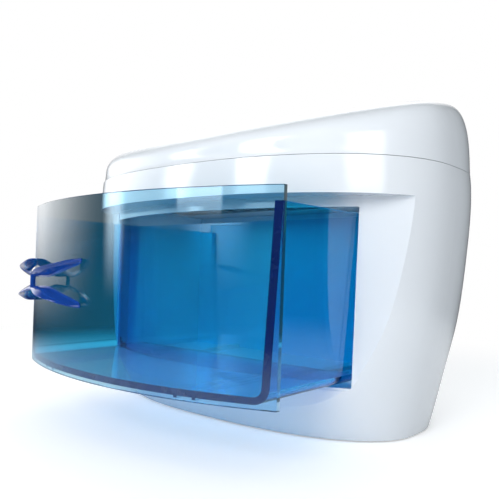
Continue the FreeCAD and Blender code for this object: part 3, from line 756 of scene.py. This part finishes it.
@dataclass
class Chamber:
    """Bright chamber with its rails, the lamp and its gear.

    Attributes:
        liner: Node of the chamber's sheet.
        holders: Nodes that hold the lamp, the starter and the leads.
        switches: Nodes of the inlet and the switches.
        seal_gap: Gap between the chamber's rim and the seal in front of it.
        seal_steps: Name, depth, lowest and highest place of each step of the seal, which is
            shallower at its foot, where the front wall comes nearer.
    """

    liner: str = "chamber_liner"
    holders: Tuple[str, ...] = (
        "lamp_holder_left", "lamp_holder_right", "lamp_rotors", "starter_holder", "terminal_block",
    )
    switches: Tuple[str, ...] = ("mains_inlet", "switch_housing", "power_rocker", "interlock_body")
    seal_gap: float = 0.3 * MM
    seal_steps: Tuple[Tuple[str, float, float, float], ...] = (
        ("chamber_seal", 9.4 * MM, 56.0 * MM, 184.5 * MM),
        ("chamber_seal_low", 7.1 * MM, 50.0 * MM, 56.0 * MM),
        ("chamber_seal_foot", 5.0 * MM, 45.0 * MM, 50.0 * MM),
    )

    def dress(self, shop: Workshop) -> None:
        """Give the chamber and the lamp gear their finishes, and seal the chamber to the front wall.

        Args:
            shop: Nodes and materials.
        """
        shop.dress(CHAMBER_ENAMEL, self.liner)
        for name, depth, low, high in self.seal_steps:
            seal = shop.laid_sheet(
                name, self.liner, faces_front, self.seal_gap, depth, TO_FRONT, (low, high)
            )
            shop.add_piece(seal, RAIL_WHITE, Body.CASE)
        shop.dress(LINER_ALUMINIUM, "reflector", "lamp_caps")
        shop.dress(RAIL_WHITE, "runner_left", "runner_right", "interlock_plunger")
        shop.dress(CHASSIS_STEEL, "chassis_plate", "lamp_guard")
        shop.dress(QUARTZ, "lamp_tube")
        shop.dress(CONTACT_BRASS, "lamp_pins", "inlet_pins")
        shop.dress(HOLDER_WHITE, *self.holders)
        shop.dress(BALLAST_PAINT, "ballast")
        shop.dress(STARTER_CAN, "starter")
        shop.dress(LEAD_SHEATH, "wiring")
        shop.dress(BLACK_PLASTIC, *self.switches)


class Role(Enum):
    """What a lamp panel does.

    It lights surfaces, shows in polished ones, or shows there through clear ones too. Each value
    tells whether diffuse, glossy and transmitted light meets the panel.
    """

    LIGHT = (True, False, False)
    MIRROR = (False, True, False)
    WINDOW = (False, True, True)


@dataclass(frozen=True)
class Panel:
    """Soft-edged lamp panel at a bearing about the part.

    Attributes:
        name: Name of the lamp.
        role: What the panel does.
        bearing: Direction from the aim to the panel in degrees, from +X towards +Y.
        rise: Angle of the panel above the aim in degrees.
        distance: Distance from the aim.
        width: Width of the panel.
        height: Height of the panel.
        power: Power in watts.
        soft: Share of the panel, from each edge, over which its light fades.
        aim: Point that the panel faces.
        half: Middle of the panel, as a share of its size.
    """

    name: str
    role: Role
    bearing: float
    rise: float
    distance: float
    width: float
    height: float
    power: float
    soft: float = 0.3
    aim: Tuple[float, float, float] = (0.0, 0.0, 0.15)
    half: float = 0.5

    def hang(self) -> None:
        """Hang the panel so that it faces the part."""
        level = self.distance * math.cos(math.radians(self.rise))
        turn = math.radians(self.bearing)
        lift = self.distance * math.sin(math.radians(self.rise))
        aim = Vector(self.aim)
        place = aim + Vector((level * math.cos(turn), level * math.sin(turn), lift))
        facing = (aim - place).to_track_quat("-Z", "Y").to_matrix().to_4x4()
        data = bpy.data.lights.new(self.name, "AREA")
        data.shape = "RECTANGLE"
        data.size = self.width
        data.size_y = self.height
        data.energy = self.power
        self.soften(data)
        lamp = bpy.data.objects.new(self.name, data)
        lamp.matrix_world = Matrix.Translation(place) @ facing
        lamp.visible_camera = False
        lamp.visible_diffuse, lamp.visible_glossy, lamp.visible_transmission = self.role.value
        bpy.context.scene.collection.objects.link(lamp)

    def soften(self, data: bpy.types.Light) -> None:
        """Let the panel's light fall off towards its edges.

        Args:
            data: Light of the panel.
        """
        data.use_nodes = True
        sheet = NodeSheet(data.node_tree)
        place = sheet.add("SeparateXYZ", Vector=sheet.add("NewGeometry").outputs["Parametric"])
        across, along = (self.edge_falloff(sheet, place.outputs[axis]) for axis in ("X", "Y"))
        shine = sheet.add("Emission", Strength=sheet.product(across, along))
        sheet.add("OutputLight", Surface=shine.outputs[0])

    def edge_falloff(self, sheet: NodeSheet, across: bpy.types.NodeSocket) -> bpy.types.NodeSocket:
        """Brightness across the panel, full in the middle and none at both edges.

        Args:
            sheet: Node tree of the light.
            across: Place across the panel, from 0 to 1.

        Returns:
            Socket with the brightness.
        """
        fold = sheet.add("Math")
        fold.operation = "PINGPONG"
        sheet.feed(fold, 0, across)
        sheet.feed(fold, 1, self.half)
        return sheet.ramp(fold.outputs[0], 0.0, 1.0, end=self.soft, smooth=True)


@dataclass
class Studio:
    """Camera, floor and soft light.

    Attributes:
        eye: Place of the camera.
        yaw: Turn of the camera to the left of +Y, in radians.
        pitch: Tilt of the camera upwards, in radians.
        roll: Roll of the camera, in radians.
        focal_pixels: Focal length in pixels of the frame.
        frame_pixels: Width of the frame in pixels.
        sensor: Width of the camera's sensor in millimetres.
        clip_start: Nearest distance that the camera sees.
        floor_half: Half the width of the floor.
        floor_colour: Colour of the floor.
        floor_rough: Roughness of the floor.
        floor_lift: Light that the camera sees added to the floor.
        fade_start: Distance at which the floor starts to fade to white.
        fade_end: Distance at which it is white.
        room_colour: Colour of the room's light.
        through_colour: Colour of the room through clear pieces.
        room_diffuse: Strength of the room's light.
        room_glossy: Strength of the room in reflections.
        room_through: Strength of the room through clear pieces.
        panels: Lamps about the part.
    """

    eye: Tuple[float, float, float] = (0.35355, -0.39497, 0.12935)
    yaw: float = 0.6961
    pitch: float = 0.0344
    roll: float = 0.0257
    focal_pixels: float = 585.67
    frame_pixels: float = 499.0
    sensor: float = 36.0
    clip_start: float = 0.01
    floor_half: float = 6.0
    floor_colour: Colour = (0.94, 0.945, 0.95)
    floor_rough: float = 0.6
    floor_lift: float = 0.33
    fade_start: float = 0.35
    fade_end: float = 0.8
    room_colour: Colour = (0.93, 0.97, 1.0)
    through_colour: Colour = (0.92, 0.95, 1.0)
    room_diffuse: float = 0.57
    room_glossy: float = 0.04
    room_through: float = 0.14
    panels: Tuple[Panel, ...] = (
        Panel(
            "key_panel", Role.LIGHT, bearing=-76.0, rise=24.0, distance=2.4,
            width=1.8, height=1.8, power=68.0,
        ),
        Panel(
            "top_panel", Role.LIGHT, bearing=150.0, rise=82.0, distance=1.9,
            width=1.8, height=1.8, power=9.0,
        ),
        Panel(
            "front_panel", Role.WINDOW, bearing=-103.5, rise=27.0, distance=2.3,
            width=0.72, height=1.9, power=22.0, soft=0.08,
        ),
        Panel(
            "right_panel", Role.MIRROR, bearing=-33.0, rise=22.0, distance=2.3,
            width=1.5, height=1.8, power=28.0, soft=0.2,
        ),
        Panel(
            "left_strip", Role.WINDOW, bearing=-134.2, rise=15.0, distance=1.35,
            width=0.27, height=1.0, power=6.2, soft=0.42,
        ),
        Panel(
            "left_panel", Role.MIRROR, bearing=194.0, rise=22.0, distance=0.55,
            width=0.85, height=0.66, power=4.6, soft=0.45, aim=(-0.14, -0.03, 0.09),
        ),
        Panel(
            "back_panel", Role.MIRROR, bearing=128.0, rise=28.0, distance=2.3,
            width=3.0, height=2.0, power=22.0,
        ),
        Panel(
            "chamber_fill", Role.LIGHT, bearing=90.0, rise=89.0, distance=0.10,
            width=0.24, height=0.06, power=0.13, aim=(0.0, 0.048, 0.085),
        ),
    )

    def build(self) -> None:
        """Build the camera, the floor, the lamps and the room."""
        self.place_camera()
        self.lay_floor()
        for panel in self.panels:
            panel.hang()
        self.set_world()

    def place_camera(self) -> None:
        """Put the camera where the photograph was taken from."""
        right = Vector((math.cos(self.yaw), math.sin(self.yaw), 0.0))
        level = math.cos(self.pitch)
        ahead = Vector((-math.sin(self.yaw) * level, math.cos(self.yaw) * level, math.sin(self.pitch)))
        up = right.cross(ahead)
        across = math.cos(self.roll) * right + math.sin(self.roll) * up
        upward = math.cos(self.roll) * up - math.sin(self.roll) * right
        data = bpy.data.cameras.new("photo_camera")
        data.sensor_width = self.sensor
        data.lens = self.focal_pixels * self.sensor / self.frame_pixels
        data.clip_start = self.clip_start
        camera = bpy.data.objects.new("photo_camera", data)
        turn = Matrix((across, upward, -ahead)).transposed().to_4x4()
        camera.matrix_world = Matrix.Translation(Vector(self.eye)) @ turn
        bpy.context.scene.collection.objects.link(camera)
        bpy.context.scene.camera = camera

    def lay_floor(self) -> None:
        """Lay a plain pale floor."""
        half = self.floor_half
        corners = [(-half, -half, 0), (half, -half, 0), (half, half, 0), (-half, half, 0)]
        mesh = bpy.data.meshes.new("floor")
        mesh.from_pydata(corners, [], [(0, 1, 2, 3)])
        floor = bpy.data.objects.new("floor", mesh)
        bpy.context.scene.collection.objects.link(floor)
        mesh.materials.append(self.floor_finish())

    def floor_finish(self) -> bpy.types.Material:
        """Pale floor that fades to the room's white away from the part.

        Returns:
            The floor's material.
        """
        sheet = MaterialSheet("floor_pale")
        rays = sheet.add("LightPath").outputs
        matt = sheet.add(
            "BsdfPrincipled", Base_Color=with_alpha(self.floor_colour), Roughness=self.floor_rough
        )
        seen = sheet.product(rays["Is Camera Ray"], self.floor_lift)
        lift = sheet.add("Emission", Color=with_alpha(WHITE), Strength=seen)
        near = sheet.add("AddShader")
        sheet.feed(near, 0, matt.outputs[0])
        sheet.feed(near, 1, lift.outputs[0])
        away = sheet.add("VectorMath")
        away.operation = "LENGTH"
        sheet.feed(away, 0, sheet.place)
        fade = sheet.ramp(away.outputs["Value"], 0.0, 1.0, self.fade_start, self.fade_end, smooth=True)
        mirrored = sheet.ramp(rays["Is Glossy Ray"], 1.0, self.room_glossy)
        shown = sheet.ramp(rays["Is Transmission Ray"], mirrored, self.room_through)
        far = sheet.add("Emission", Color=with_alpha(WHITE), Strength=shown)
        direct = sheet.ramp(rays["Is Diffuse Ray"], 1.0, 0.0)
        return sheet.finish(sheet.blend(sheet.product(direct, fade), near, far))

    def set_world(self) -> None:
        """Light the room evenly, show it white and keep it dim in reflections."""
        world = bpy.data.worlds.new("studio")
        bpy.context.scene.world = world
        world.use_nodes = True
        sheet = NodeSheet(world.node_tree)
        rays = sheet.add("LightPath").outputs
        sky = sheet.add("Background", Color=with_alpha(self.room_colour), Strength=self.room_diffuse)
        shades = (
            ("Is Glossy Ray", self.room_colour, self.room_glossy),
            ("Is Transmission Ray", self.through_colour, self.room_through),
            ("Is Camera Ray", WHITE, 1.0),
        )
        for ray, colour, strength in shades:
            shade = sheet.add("Background", Color=with_alpha(colour), Strength=strength)
            sky = sheet.blend(rays[ray], sky, shade)
        sheet.add("OutputWorld", Surface=sky.outputs[0])


def main() -> None:
    """Dress the frame, build the studio and report each piece."""
    logging.basicConfig(level=logging.INFO)
    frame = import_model()
    bpy.context.scene.view_settings.view_transform = "Standard"
    shop = Workshop(frame["nodes"])
    Cabinet().dress(shop)
    Drawer().dress(shop)
    Chamber().dress(shop)
    Studio().build()


if __name__ == "__main__":
    main()
